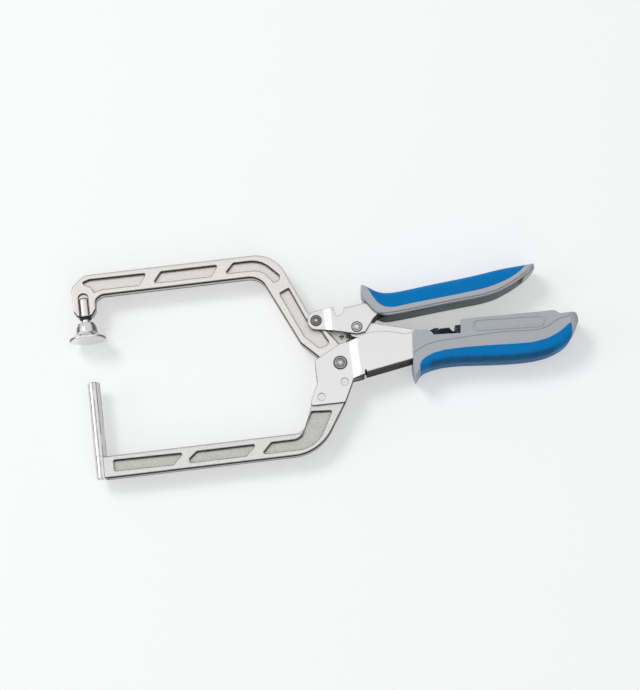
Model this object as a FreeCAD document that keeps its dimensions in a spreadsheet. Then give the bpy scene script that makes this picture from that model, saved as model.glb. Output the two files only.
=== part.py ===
import FreeCAD, Part
import math
import os
import Sketcher

# Right-angle toggle clamp, lying on its side.
# X runs from the peg towards the handles, Y along the peg towards the swivel pad,
# Z through the thickness, with Z = 0 in the middle plane.
# The origin is on the peg's axis, where the peg leaves its saddle.

os.makedirs("parts", exist_ok=True)
doc = FreeCAD.newDocument("right_angle_clamp")
vec = FreeCAD.Vector

# alias, value in mm or degrees or a count, what it is
sizeRows = [
    ("peg_diameter", 9.0, "jaw peg, goes into a 9.5 mm pocket hole"),
    ("peg_reach", 52.2, "peg above its seat"),
    ("peg_tail", 18.6, "peg below its seat, along the saddle"),
    ("peg_bevel", 0.8, "bevel on both ends of the peg"),
    ("neck_width", 0.6, "relief groove of the peg above the saddle"),
    ("neck_depth", 0.3, "depth of the relief groove"),
    ("reach", 179.1, "peg axis to the main pivot"),
    ("pivot_rise", 44.3, "main pivot above the peg's seat"),
    ("seat_drop", 3.0, "inner edge of the fixed arm below the seat"),
    ("fixed_depth", 16.0, "depth of the fixed arm's bar"),
    ("saddle_edge", 1.8, "start of the saddle's cheeks, from the peg axis"),
    ("arm_width", 10.0, "thickness of the fixed arm, gap of the channel's front"),
    ("side_play", 0.2, "play on each side of a moving piece in a channel"),
    ("sheet", 2.0, "steel sheet of channel, lever and link"),
    ("joggle", 3.0, "step of each sheet side"),
    ("upper_rise", 71.4, "inner edge of the moving arm above the main pivot"),
    ("upper_depth", 16.3, "depth of the moving arm's bar"),
    ("recess", 2.3, "depth of the arms' recesses"),
    ("recess_draft", 14.0, "draft of the recess walls, degrees"),
    ("cast_round", 1.0, "rounding of the cast edges"),
    ("hub_radius", 8.5, "moving arm round the main pivot"),
    ("hub_gap", 0.6, "gap between hub and fixed arm"),
    ("lobe_radius", 5.7, "moving arm round the lever pivot"),
    ("lever_back", 13.7, "lever pivot behind the main pivot, towards the peg"),
    ("lever_up", 33.0, "lever pivot above the main pivot"),
    ("link_run", 28.7, "lever pivot to link pivot, along X"),
    ("link_drop", 8.7, "lever pivot to link pivot, down"),
    ("rear_run", 48.5, "link pivot to rear pin, along X"),
    ("rear_drop", 14.0, "link pivot to rear pin, down"),
    ("main_rivet_diameter", 6.0, "shank of the main rivet"),
    ("main_head", 10.3, "head of the main rivet"),
    ("lever_rivet_diameter", 5.0, "shank of the lever rivet"),
    ("lever_head", 8.5, "head of the lever rivet"),
    ("link_rivet_diameter", 5.0, "shank of the link rivet"),
    ("link_head", 8.2, "head of the link rivet"),
    ("head_rise", 1.7, "height of the domed heads"),
    ("flush_diameter", 5.2, "flush rivets of the fixed arm"),
    ("rear_pin_diameter", 6.0, "rear pin of the link"),
    ("pivot_play", 0.05, "radial play of every turning fit"),
    ("slot_play", 0.4, "play above and below the rear pin in its slot"),
    ("slot_travel", 3.6, "travel of the rear pin along its slot"),
    ("lever_nose", 6.0, "lever's round end"),
    ("link_round", 6.2, "link's round ends"),
    ("lug_radius", 3.6, "spring lug of the moving arm"),
    ("lug_hole", 1.8, "radius of the spring lug's hole"),
    ("lug_half", 1.5, "half thickness of the spring lug"),
    ("lug_forward", 3.5, "spring lug's hole from the main pivot, along X"),
    ("lug_up", 19.7, "spring lug's hole above the main pivot"),
    ("tab_forward", 46.9, "spring tab's hole from the main pivot, along X"),
    ("tab_up", 3.7, "spring tab's hole above the main pivot"),
    ("tab_hole", 1.6, "radius of the spring tab's hole"),
    ("spring_wire", 1.2, "wire of the return spring"),
    ("spring_radius", 3.1, "outer radius of the return spring"),
    ("hook_radius", 2.6, "mean radius of the spring's end loops"),
    ("spring_coils", 14, "coils of the return spring"),
    ("pad_axis", -1.0, "pad axis, from the peg axis"),
    ("pad_diameter", 27.0, "swivel pad"),
    ("pad_thickness", 4.2, "plate of the swivel pad, at its socket"),
    ("pad_rim", 2.0, "plate of the swivel pad, at its rim"),
    ("pad_drop", 32.2, "pad face below the moving arm's inner edge"),
    ("socket_radius", 7.7, "socket of the swivel pad"),
    ("ball_radius", 4.8, "ball of the pad stud"),
    ("ball_rise", 8.8, "ball centre above the pad face"),
    ("stud_radius", 2.9, "shank of the pad stud"),
    ("boss_drop", 14.7, "end of the boss below the moving arm's inner edge"),
    ("boss_depth", 12.0, "depth of the stud's bore in the boss"),
    ("boss_radius", 4.5, "round bulge over the stud's bore"),
    ("groove_half", 3.8, "half width of the arched groove round the bulge"),
    ("groove_depth", 1.7, "depth of the arched groove"),
    ("ring_thickness", 1.8, "black ring under the boss"),
    ("ring_radius", 4.3, "outer radius of the black ring"),
    ("grip_half", 13.0, "half width of both grips"),
    ("grip_wall", 2.0, "thickness of the blue covers"),
    ("grip_round", 7.0, "rounding of the blue covers"),
    ("oval_length", 52.0, "raised oval rim"),
    ("oval_height", 8.8, "raised oval rim"),
    ("oval_rim", 1.2, "width of the oval rim"),
    ("panel_step", 0.4, "depth of the fine line under the oval and of the lever grip's lip"),
    ("oval_rise", 0.5, "height of the oval rim"),
    ("wheel_radius", 7.4, "knurled thumb wheel"),
    ("wheel_width", 8.0, "knurled thumb wheel"),
    ("knurls", 22, "grooves round the thumb wheel"),
    ("knurl_depth", 0.7, "depth of a wheel groove"),
    ("screw_radius", 3.0, "shank of the thumb screw"),
    ("bracket_thickness", 3.8, "screw bracket"),
    ("tooth_pitch", 2.5, "teeth of block and rack plate"),
    ("tooth_count", 5, "teeth on the slide block"),
    ("tooth_height", 1.6, "height of a tooth"),
    ("coil_wire", 1.2, "wire of the screw spring"),
    ("coil_radius", 4.6, "mean radius of the screw spring"),
    ("coil_pitch", 3.2, "pitch of the screw spring"),
    ("coil_turns", 5, "turns of the screw spring"),
    ("nut_flats", 10.0, "end nut across its flats"),
    ("nut_thickness", 4.5, "end nut"),
]

sheet = doc.addObject("Spreadsheet::Sheet", "sizes")
numbers = {}
for row, (alias, value, note) in enumerate(sizeRows, start=1):
    sheet.set("A%d" % row, note)
    sheet.set("B%d" % row, str(value))
    sheet.setAlias("B%d" % row, alias)
    numbers[alias] = value
doc.recompute()


def size(alias):
    return float(sheet.get(alias))


def total(constant=0.0, **shares):
    """A length as its number and as the text that binds it to the sheet."""
    number = constant + sum(size(alias) * share for alias, share in shares.items())
    words = ["%.9g mm" % constant]
    words += ["sizes.%s * %.9g mm" % (alias, share) for alias, share in shares.items()]
    return number, " + ".join(words)


reach = size("reach")
rise = size("pivot_rise")


def at(forward, up, radius=0.0):
    """A corner placed from the main pivot."""
    return (reach + forward, rise + up, radius)


nodes = []


def newBody(name, kept=True):
    body = doc.addObject("PartDesign::Body", name)
    body.Label = name
    if kept:
        nodes.append(body)
    return body


def originPlane(body, role):
    return [item for item in body.Origin.OriginFeatures if item.Role == role][0]


def newSketch(body, role, name, shift=(0.0, 0.0, 0.0), bound=None):
    sketch = body.newObject("Sketcher::SketchObject", name)
    sketch.AttachmentSupport = [(originPlane(body, role), "")]
    sketch.MapMode = "FlatFace"
    sketch.AttachmentOffset = FreeCAD.Placement(vec(*shift), FreeCAD.Rotation())
    for axis, text in (bound or {}).items():
        sketch.setExpression("AttachmentOffset.Base." + axis, text)
    return sketch


def drawLoop(sketch, points):
    """A closed outline of straight runs, with a tangent arc at each corner that has a radius."""
    count = len(points)
    joints = []
    for index in range(count):
        x, y = points[index][0], points[index][1]
        radius = points[index][2] if len(points[index]) > 2 else 0.0
        corner = vec(x, y, 0)
        if radius <= 0:
            joints.append((corner, None, corner))
            continue
        before = points[index - 1]
        after = points[(index + 1) % count]
        back = (vec(before[0], before[1], 0) - corner).normalize()
        ahead = (vec(after[0], after[1], 0) - corner).normalize()
        half = back.getAngle(ahead) / 2
        if math.pi / 2 - half < 0.005:
            joints.append((corner, None, corner))
            continue
        cut = radius / math.tan(half)
        inward = (back + ahead).normalize()
        middle = corner + inward * (radius / math.sin(half) - radius)
        joints.append((corner + back * cut, middle, corner + ahead * cut))
    pieces = []
    meetings = []
    for index in range(count):
        start, middle, end = joints[index]
        if middle is not None:
            pieces.append(Part.Arc(start, middle, end))
            meetings.append(end)
        following = joints[(index + 1) % count][0]
        if end.distanceToPoint(following) > 1e-6:
            pieces.append(Part.LineSegment(end, following))
            meetings.append(following)
    first = sketch.addGeometry(pieces, False)[0]
    links = []
    for index, meeting in enumerate(meetings):
        pair = []
        for item in (first + index, first + (index + 1) % len(pieces)):
            place = 1 if sketch.getPoint(item, 1).distanceToPoint(meeting) < 1e-5 else 2
            pair += [item, place]
        links.append(Sketcher.Constraint("Coincident", *pair))
    sketch.addConstraint(links)


def drawCircle(sketch, x, y, radius):
    """A circle whose centre and radius are bound to the sheet."""
    item = sketch.addGeometry(Part.Circle(vec(x[0], y[0], 0), vec(0, 0, 1), radius[0]), False)
    rows = (("DistanceX", (-1, 1, item, 3), x), ("DistanceY", (-1, 1, item, 3), y), ("Radius", (item,), radius))
    for kind, where, length in rows:
        index = sketch.addConstraint(Sketcher.Constraint(kind, *where, length[0]))
        sketch.setExpression("Constraints[%d]" % index, length[1])


def settle(feature):
    """Works the document out and stops at a feature that fails."""
    doc.recompute()
    if "Invalid" in feature.State or "Error" in feature.State or feature.Shape.isNull():
        raise RuntimeError(feature.Name + " fails")
    return feature


def newPad(body, sketch, name, length, symmetric=True):
    pad = body.newObject("PartDesign::Pad", name)
    pad.Profile = sketch
    pad.SideType = "Symmetric" if symmetric else "One side"
    pad.Length = length[0]
    pad.setExpression("Length", length[1])
    return settle(pad)


def newPocket(body, sketch, name, length, symmetric=True, draft=None):
    before = body.Shape.Volume
    pocket = body.newObject("PartDesign::Pocket", name)
    pocket.Profile = sketch
    pocket.SideType = "Symmetric" if symmetric else "One side"
    pocket.Length = length[0]
    pocket.setExpression("Length", length[1])
    if draft:
        pocket.TaperAngle = -draft[0]
        pocket.setExpression("TaperAngle", draft[1])
    settle(pocket)
    if not body.Shape.Volume < before - 1e-6:
        raise RuntimeError(name + " cuts nothing")
    return pocket


def mirror(body, feature, name):
    copy = body.newObject("PartDesign::Mirrored", name)
    copy.Originals = [feature]
    copy.MirrorPlane = (originPlane(body, "XY_Plane"), [""])
    body.Tip = copy
    return settle(copy)


def keepInside(body, name, role, points, frame=900.0):
    """Cuts away all that lies outside an outline."""
    sketch = newSketch(body, role, name + "_outline")
    drawLoop(sketch, [(-frame, -frame), (frame, -frame), (frame, frame), (-frame, frame)])
    drawLoop(sketch, points)
    return newPocket(body, sketch, name, total(2 * frame))


def pickEdges(shape, test):
    names = []
    for index, edge in enumerate(shape.Edges, start=1):
        if test(edge):
            names.append("Edge%d" % index)
    return names


def newFillet(body, feature, name, test, radius):
    names = pickEdges(feature.Shape, test)
    if not names:
        raise RuntimeError(name + " finds no edge")
    fillet = body.newObject("PartDesign::Fillet", name)
    fillet.Base = (feature, names)
    fillet.Radius = radius[0]
    fillet.setExpression("Radius", radius[1])
    return settle(fillet)


def turned(name, points, axis, x, y, kept=True):
    """A revolved piece: its profile gives (radius, along) about the chosen axis through (x, y)."""
    body = newBody(name, kept)
    if axis == "Z":
        sketch = newSketch(body, "XZ_Plane", name + "_profile", (x[0], 0, -y[0]),
                           {"x": x[1], "z": "-(" + y[1] + ")"})
        drawLoop(sketch, points)
        line = "V_Axis"
    elif axis == "Y":
        sketch = newSketch(body, "XY_Plane", name + "_profile", (x[0], y[0], 0), {"x": x[1], "y": y[1]})
        drawLoop(sketch, points)
        line = "V_Axis"
    else:
        sketch = newSketch(body, "XY_Plane", name + "_profile", (x[0], y[0], 0), {"x": x[1], "y": y[1]})
        drawLoop(sketch, [(item[1], item[0]) + tuple(item[2:]) for item in points])
        line = "H_Axis"
    spin = body.newObject("PartDesign::Revolution", name + "_turn")
    spin.Profile = sketch
    spin.ReferenceAxis = (sketch, [line])
    spin.Angle = 360
    settle(spin)
    return body


def rivetProfile(shank, head, grip, headRise):
    """Half section of a rivet whose two heads are a round ring with a dome on it."""
    top = grip + headRise
    return [
        (0, -top), (head * 0.24, -top + 0.15, 2.0), (head * 0.31, -grip - headRise * 0.45, 0.3),
        (head * 0.45, -grip - headRise * 0.5, 1.0), (head / 2, -grip), (shank / 2, -grip), (shank / 2, grip), (head / 2, grip),
        (head * 0.45, grip + headRise * 0.5, 1.0), (head * 0.31, grip + headRise * 0.45, 0.3),
        (head * 0.24, top - 0.15, 2.0), (0, top),
    ]


pivotX = total(reach=1)
pivotY = total(pivot_rise=1)
leverX = total(reach=1, lever_back=-1)
leverY = total(pivot_rise=1, lever_up=1)
linkX = total(reach=1, lever_back=-1, link_run=1)
linkY = total(pivot_rise=1, lever_up=1, link_drop=-1)
rearX = total(reach=1, lever_back=-1, link_run=1, rear_run=1)
rearY = total(pivot_rise=1, lever_up=1, link_drop=-1, rear_drop=-1)

sheetThick = size("sheet")
frontIn = size("arm_width") / 2
frontOut = frontIn + sheetThick
wideIn = frontIn + size("joggle")
wideOut = wideIn + sheetThick
movingHalf = frontIn - size("side_play")
insideWidth = total(arm_width=1, joggle=2, sheet=2)

# Fixed arm: a cast bar that curves up into the channel.
seatLevel = -size("seat_drop")
heelLevel = seatLevel - size("fixed_depth")
saddleEdge = size("saddle_edge")
fixedArm = newBody("fixed_arm")
outline = newSketch(fixedArm, "XY_Plane", "fixed_arm_outline")
drawLoop(outline, [
    (saddleEdge, heelLevel, 1.5), (at(-22.2, 0)[0], heelLevel, 34.0), at(0.3, -28.9, 4), at(7.9, -13.1, 1.5),
    at(7.9, -7.7, 1.5), at(-16.1, -7.7, 3), (at(-32.5, 0)[0], seatLevel, 8.0), (saddleEdge, seatLevel, 1.5),
])
armPad = newPad(fixedArm, outline, "fixed_arm_bar", total(arm_width=1))


def onFace(half):
    """The edges round both flat faces of a cast bar."""
    def test(edge):
        box = edge.BoundBox
        return box.ZLength < 1e-4 and abs(abs(box.ZMin) - half) < 1e-4
    return test


newFillet(fixedArm, armPad, "fixed_arm_rounding", onFace(frontIn), total(cast_round=1))
hubCut = newSketch(fixedArm, "XY_Plane", "fixed_arm_hub_outline")
drawCircle(hubCut, pivotX, pivotY, total(hub_radius=1, hub_gap=1))
newPocket(fixedArm, hubCut, "fixed_arm_hub_clearance", total(arm_width=2))
saddle = newSketch(fixedArm, "XZ_Plane", "saddle_circle")
drawCircle(saddle, total(), total(), total(peg_diameter=0.5))
newPocket(fixedArm, saddle, "saddle_groove", total(200.0))
flushSpots = ((1.5, -14.4), (-16.4, -23.5))
flushHoles = newSketch(fixedArm, "XY_Plane", "fixed_arm_rivet_holes")
for forward, up in flushSpots:
    drawCircle(flushHoles, total(forward, reach=1), total(up, pivot_rise=1), total(flush_diameter=0.5))
newPocket(fixedArm, flushHoles, "fixed_arm_rivet_bores", total(arm_width=2))


def faceRecess(body, name, half, loops):
    sketch = newSketch(body, "XY_Plane", name + "_outline", (0, 0, half))
    for loop in loops:
        drawLoop(sketch, loop)
    pocket = newPocket(body, sketch, name, total(recess=1), False, total(recess_draft=1))
    return mirror(body, pocket, name + "_back")


faceRecess(fixedArm, "fixed_arm_recess", frontIn, [
    [(9.0, seatLevel - 3.6, 1.2), (59.5, seatLevel - 4.4, 1.0), (51.6, heelLevel + 4.0, 1.0), (9.0, heelLevel + 4.6, 1.2)],
    [(63.2, seatLevel - 9.0, 1.0), (69.2, seatLevel - 4.4, 1.2), (112.2, seatLevel - 4.4, 1.0),
     (104.2, heelLevel + 4.0, 1.0), (63.4, heelLevel + 4.0, 1.0)],
    [at(-63.9, -59.3, 1), at(-56.2, -51.7, 1.4), at(-34.9, -51.7, 9), at(-24.9, -32.7, 1), at(-9.9, -33.9, 1), at(-24.1, -59.3, 22)],
])

# Peg: a plain pin with bevelled ends, in the saddle, and a relief groove where it leaves it.
pegRadius = size("peg_diameter") / 2
bevel = size("peg_bevel")
neckLow = seatLevel + 0.1
neckHigh = neckLow + size("neck_width")
neckRadius = pegRadius - size("neck_depth")
turned("peg", [
    (0, -size("peg_tail")), (pegRadius - bevel, -size("peg_tail")), (pegRadius, -size("peg_tail") + bevel),
    (pegRadius, neckLow), (neckRadius, neckLow), (neckRadius, neckHigh), (pegRadius, neckHigh),
    (pegRadius, size("peg_reach") - bevel), (pegRadius - bevel, size("peg_reach")), (0, size("peg_reach")),
], "Y", total(), total())

# Two flush rivets hold the fixed arm between the channel's sides.
armRivets = newBody("arm_rivets")
rivetEnds = newSketch(armRivets, "XY_Plane", "arm_rivet_circles")
for forward, up in flushSpots:
    drawCircle(rivetEnds, total(forward, reach=1), total(up, pivot_rise=1), total(flush_diameter=0.5))
newPad(armRivets, rivetEnds, "arm_rivet_shanks", total(arm_width=1, sheet=2))

turned("main_rivet", rivetProfile(size("main_rivet_diameter"), size("main_head"), frontOut, size("head_rise")),
       "Z", pivotX, pivotY)
turned("lever_rivet", rivetProfile(size("lever_rivet_diameter"), size("lever_head"), frontOut, size("head_rise")),
       "Z", leverX, leverY)
turned("link_rivet", rivetProfile(size("link_rivet_diameter"), size("link_head"), wideOut, size("head_rise")),
       "Z", linkX, linkY)


def sheetSides(body, name, first, stepStart, stepEnd, last):
    """Both sides of a folded sheet, seen from above: close together in front, then stepped apart."""
    sketch = newSketch(body, "XZ_Plane", name + "_plan")
    for sign in (1, -1):
        drawLoop(sketch, [
            (first, sign * frontIn), (stepStart + 0.45, sign * frontIn, 1.0), (stepEnd + 0.45, sign * wideIn, 3.0),
            (last, sign * wideIn), (last, sign * wideOut), (stepEnd, sign * wideOut, 1.0),
            (stepStart, sign * frontOut, 3.0), (first, sign * frontOut),
        ])
    return newPad(body, sketch, name + "_sides", total(900.0))


# Channel: one folded sheet. Its web is on the outer side, behind the step.
shellWeb = [at(18.1, -10.7), at(53.4, -4.8, 30), at(158.9, -0.8)]
bodyShell = newBody("body_shell")
sheetSides(bodyShell, "body_shell", at(-26.0, 0)[0], at(7.9, 0)[0], at(14.2, 0)[0], at(158.9, 0)[0])
keepInside(bodyShell, "body_shell_side", "XY_Plane", [
    at(-24.3, -29.1, 2), at(0.0, -29.3, 1.5), at(8.2, -12.9), at(16.8, -11.0), at(16.8, -8.1, 0.5), at(18.1, -7.9, 0.5),
    at(18.1, -10.7), at(53.4, -4.8, 30), at(158.9, -0.8), at(158.9, 8.7, 2), at(151.9, 13.7, 3), at(90.7, 16.3, 1), at(89.1, 7.9, 1), at(68.9, 8.3, 1.5), at(65.5, 14.3, 1),
    at(57.1, 16.6, 2), at(50.1, 14.6, 6), at(42.6, 16.9, 12), at(33.9, 18.9, 12), at(24.9, 19.2, 12), at(18.1, 18.1, 1.5), at(13.8, 16.3, 1.5),
    at(7.9, 14.9), at(0.6, 13.6, 4), at(-18.2, 3.7, 1.5), at(-18.2, -12.5, 3), at(-24.7, -26.3, 1.5),
])
webSketch = newSketch(bodyShell, "XY_Plane", "body_shell_web_strip")
drawLoop(webSketch, shellWeb + [(x, y + sheetThick, r) for x, y, r in reversed(shellWeb)])
webPad = newPad(bodyShell, webSketch, "body_shell_web", insideWidth)


def onWebEdge(line, half):
    """The two long outer bends of a web."""
    path = Part.makePolygon([vec(x, y, 0) for x, y, r in line])

    def test(edge):
        box = edge.BoundBox
        if box.ZLength > 1e-4 or abs(abs(box.ZMin) - half) > 1e-4:
            return False
        return all(path.distToShape(Part.Vertex(v.X, v.Y, 0))[0] < 0.3 for v in edge.Vertexes)
    return test


newFillet(bodyShell, webPad, "body_shell_bends", onWebEdge(shellWeb, wideOut), total(sheet=0.9))
tabX = total(reach=1, tab_forward=1)
tabY = total(pivot_rise=1, tab_up=1)
tabSketch = newSketch(bodyShell, "XY_Plane", "spring_tab_outline")
drawLoop(tabSketch, [
    (tabX[0] - 4.2, rise - 5.6), (tabX[0] + 4.2, rise - 4.6), (tabX[0] + 4.2, tabY[0] + 1.5, 2.5),
    (tabX[0] - 1.0, tabY[0] + 3.6, 3.0), (tabX[0] - 4.2, tabY[0] + 1.5, 2.5),
])
newPad(bodyShell, tabSketch, "spring_tab", total(sheet=1))
windowSketch = newSketch(bodyShell, "XZ_Plane", "spring_tab_window")
drawLoop(windowSketch, [
    (tabX[0] - 4.2, sheetThick / 2, 0), (tabX[0] + 4.2, sheetThick / 2, 0), (tabX[0] + 4.2, sheetThick / 2 + 5.5, 1.0),
    (tabX[0] - 4.2, sheetThick / 2 + 5.5, 1.0),
])
newPocket(bodyShell, windowSketch, "spring_tab_window_cut", total(900.0))
shellHoles = newSketch(bodyShell, "XY_Plane", "body_shell_holes")
drawCircle(shellHoles, pivotX, pivotY, total(main_rivet_diameter=0.5))
for forward, up in flushSpots:
    drawCircle(shellHoles, total(forward, reach=1), total(up, pivot_rise=1), total(flush_diameter=0.5))
newPocket(bodyShell, shellHoles, "body_shell_bores", total(900.0))
tabHole = newSketch(bodyShell, "XY_Plane", "spring_tab_hole")
drawCircle(tabHole, tabX, tabY, total(tab_hole=1))
newPocket(bodyShell, tabHole, "spring_tab_bore", total(sheet=3))

# Moving arm: a cast bar with a slanted leg, a hub, a boss for the pad stud and a thin lug for the spring.
innerLevel = rise + size("upper_rise")
topLevel = innerLevel + size("upper_depth")
bossEnd = innerLevel - size("boss_drop")
movingArm = newBody("moving_arm")
outline = newSketch(movingArm, "XY_Plane", "moving_arm_outline")
drawLoop(outline, [
    (4.2, bossEnd, 2.0), (7.2, bossEnd + 4.4, 2.5), (7.9, innerLevel - 3.0, 4.0), (12.6, innerLevel - 0.1, 6.0),
    (at(-50.3, 0)[0], innerLevel, 14.0), at(-26.4, 18.0, 6),
    at(-18.3, 9.9, 4), at(-6.1, -3.3, 2), at(4.9, -3.3, 2), at(7.1, 5.7, 3), at(-0.5, 16.7, 6), at(-7.5, 26.7, 5), at(-8.1, 38.9, 5),
    at(-18.2, 39.1, 3), (at(-38.2, 0)[0], topLevel, 24.0), (1.0, topLevel - 0.1, 9.0), (-9.4, innerLevel + 7.7, 8.0),
    (-8.9, bossEnd + 4.4, 2.5), (-6.2, bossEnd, 2.0),
])
armHalf = total(arm_width=1, side_play=-2)
armBar = newPad(movingArm, outline, "moving_arm_bar", armHalf)
newFillet(movingArm, armBar, "moving_arm_rounding", onFace(movingHalf), total(cast_round=1))
hubs = newSketch(movingArm, "XY_Plane", "moving_arm_hub_circle")
drawCircle(hubs, pivotX, pivotY, total(hub_radius=1))
newPad(movingArm, hubs, "moving_arm_hub", armHalf)
archSketch = newSketch(movingArm, "XY_Plane", "boss_groove_outline", (0, 0, movingHalf))
archHalf = size("groove_half")
archTop = innerLevel + 2.4
archX = size("pad_axis")
drawLoop(archSketch, [
    (archX - archHalf, bossEnd - 2.0), (archX + archHalf, bossEnd - 2.0), (archX + archHalf, archTop, archHalf * 0.97),
    (archX - archHalf, archTop, archHalf * 0.97),
])
archPocket = newPocket(movingArm, archSketch, "boss_groove", total(groove_depth=1), False)
mirror(movingArm, archPocket, "boss_groove_back")
bossSketch = newSketch(movingArm, "XY_Plane", "boss_profile", (size("pad_axis"), 0, 0), {"x": "sizes.pad_axis * 1 mm"})
bossRadius = size("boss_radius")
drawLoop(bossSketch, [
    (0, bossEnd), (bossRadius, bossEnd, 0.5), (bossRadius, innerLevel - 0.6, 1.4), (0, innerLevel - 0.6, 0),
])
bossTurn = movingArm.newObject("PartDesign::Revolution", "boss_turn")
bossTurn.Profile = bossSketch
bossTurn.ReferenceAxis = (bossSketch, ["V_Axis"])
bossTurn.Angle = 360
settle(bossTurn)
lugX = total(reach=1, lug_forward=1)
lugY = total(pivot_rise=1, lug_up=1)
lugSketch = newSketch(movingArm, "XY_Plane", "spring_lug_outline")
drawLoop(lugSketch, [
    (lugX[0] - 8.0, lugY[0] - 9.0), (lugX[0] + 2.2, lugY[0] - 6.5, 3.0), (lugX[0] + size("lug_radius"), lugY[0] - 1.0, 2.5),
    (lugX[0] + size("lug_radius"), lugY[0] + size("lug_radius"), 3.4), (lugX[0] - 3.0, lugY[0] + size("lug_radius"), 3.0),
    (lugX[0] - 11.0, lugY[0] + 6.0, 0),
])
newPad(movingArm, lugSketch, "spring_lug", total(lug_half=2))
armHoles = newSketch(movingArm, "XY_Plane", "moving_arm_holes")
drawCircle(armHoles, pivotX, pivotY, total(main_rivet_diameter=0.5, pivot_play=1))
drawCircle(armHoles, leverX, leverY, total(lever_rivet_diameter=0.5, pivot_play=1))
drawCircle(armHoles, lugX, lugY, total(lug_hole=1))
newPocket(movingArm, armHoles, "moving_arm_bores", total(arm_width=3))
studBore = newSketch(movingArm, "XZ_Plane", "stud_bore_circle", (0, 0, -bossEnd),
                     {"z": "-(sizes.pivot_rise + sizes.upper_rise - sizes.boss_drop) * 1 mm"})
drawCircle(studBore, total(pad_axis=1), total(), total(stud_radius=1, pivot_play=1))
newPocket(movingArm, studBore, "stud_bore", total(boss_depth=2))
faceRecess(movingArm, "moving_arm_recess", movingHalf, [
    [(7.3, innerLevel + 2.2, 0.8), (12.4, innerLevel + 3.9, 5.0), (40.6, innerLevel + 3.9, 1.0), (46.6, topLevel - 4.2, 1.0),
     (4.4, topLevel - 3.9, 4.0), (-0.8, topLevel - 5.6, 0.9), (0.8, innerLevel + 8.8, 0.8), (5.2, innerLevel + 6.6, 2.0)],
    [(50.8, innerLevel + 4.2, 1.0), (93.4, innerLevel + 4.0, 1.0), (99.2, topLevel - 4.3, 1.0), (57.2, topLevel - 4.3, 1.0)],
    [at(-75.7, 76.3, 1), at(-68.6, 83.5, 1), at(-48.5, 83.5, 20), at(-33.9, 68.1, 3), at(-40.5, 65.3, 1.5), at(-48.7, 76.1, 14)],
    [at(-37.7, 56.9, 1), at(-23.5, 22.9, 5), at(-13.5, 12.7, 2), at(-5.5, 15.3, 2), at(-10.5, 25.3, 2), at(-20.5, 35.3, 2), at(-30.5, 60.1, 1)],
])

# Lever: one folded sheet. Its web is on the upper side, behind a bend relief, and runs into the grip.
leverWeb = [at(7.5, 40.1), at(25.4, 42.3), at(34.9, 43.2), at(50.9, 43.5), at(96.9, 47.0), at(120.9, 48.8)]
leverChannel = newBody("lever_channel")
sheetSides(leverChannel, "lever_channel", at(-22.0, 0)[0], at(-7.6, 0)[0], at(-2.6, 0)[0], at(120.9, 0)[0])
keepInside(leverChannel, "lever_channel_side", "XY_Plane", [
    at(-19.7, 26.9, 6), at(-7.6, 25.1, 6), at(-2.1, 23.3, 3), at(14.7, 19.0, 4), at(20.7, 19.9, 2), at(27.9, 29.3, 3), at(33.4, 33.3, 6),
    at(65.9, 35.5), at(96.9, 39.3), at(120.9, 43.3), at(120.9, 48.8), at(96.9, 47.0), at(50.9, 43.5), at(34.9, 43.2),
    at(25.4, 42.3), at(7.5, 40.1), at(6.5, 35.1, 2), at(0.5, 33.3, 2.2), at(-0.2, 40.6, 0.8), at(-7.6, 40.8, 3), at(-19.7, 39.0, 6),
])
webSketch = newSketch(leverChannel, "XY_Plane", "lever_web_strip")
drawLoop(webSketch, leverWeb + [(x, y - sheetThick, 0) for x, y, r in reversed(leverWeb)])
webPad = newPad(leverChannel, webSketch, "lever_web", insideWidth)
newFillet(leverChannel, webPad, "lever_bends", onWebEdge(leverWeb, wideOut), total(sheet=0.9))
leverHoles = newSketch(leverChannel, "XY_Plane", "lever_holes")
drawCircle(leverHoles, leverX, leverY, total(lever_rivet_diameter=0.5))
drawCircle(leverHoles, linkX, linkY, total(link_rivet_diameter=0.5))
newPocket(leverChannel, leverHoles, "lever_bores", total(900.0))

# Toggle link: a folded sheet inside the lever and the channel, its web on the upper side.
linkOut = total(arm_width=1, joggle=2, side_play=-3)
toggleLink = newBody("toggle_link")
outline = newSketch(toggleLink, "XY_Plane", "toggle_link_outline")
linkRound = size("link_round")
linkFrontTop = linkY[0] + linkRound + 0.5
linkRear = rearX[0] - 4.4
linkRearTop = rearY[0] + linkRound + 0.6
drawLoop(outline, [
    (linkX[0] - linkRound, linkY[0] - linkRound, linkRound * 0.9), (rearX[0] + linkRound, rearY[0] - linkRound - 1.8, linkRound * 0.95),
    (rearX[0] + linkRound, rearY[0] + linkRound - 1.4, linkRound * 0.8), (linkRear, linkRearTop, 3.0),
    (linkX[0] - linkRound, linkFrontTop, linkRound * 0.9),
])
newPad(toggleLink, outline, "toggle_link_block", linkOut)
inside = newSketch(toggleLink, "XY_Plane", "toggle_link_inside")
slope = (linkRearTop - linkFrontTop) / (linkRear - linkX[0] + linkRound)
webStart = linkX[0] + 12.0
webEnd = rearX[0] - 10.0


def underWeb(x):
    return linkRearTop + slope * (x - linkRear) - sheetThick * math.hypot(1, slope)


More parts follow.
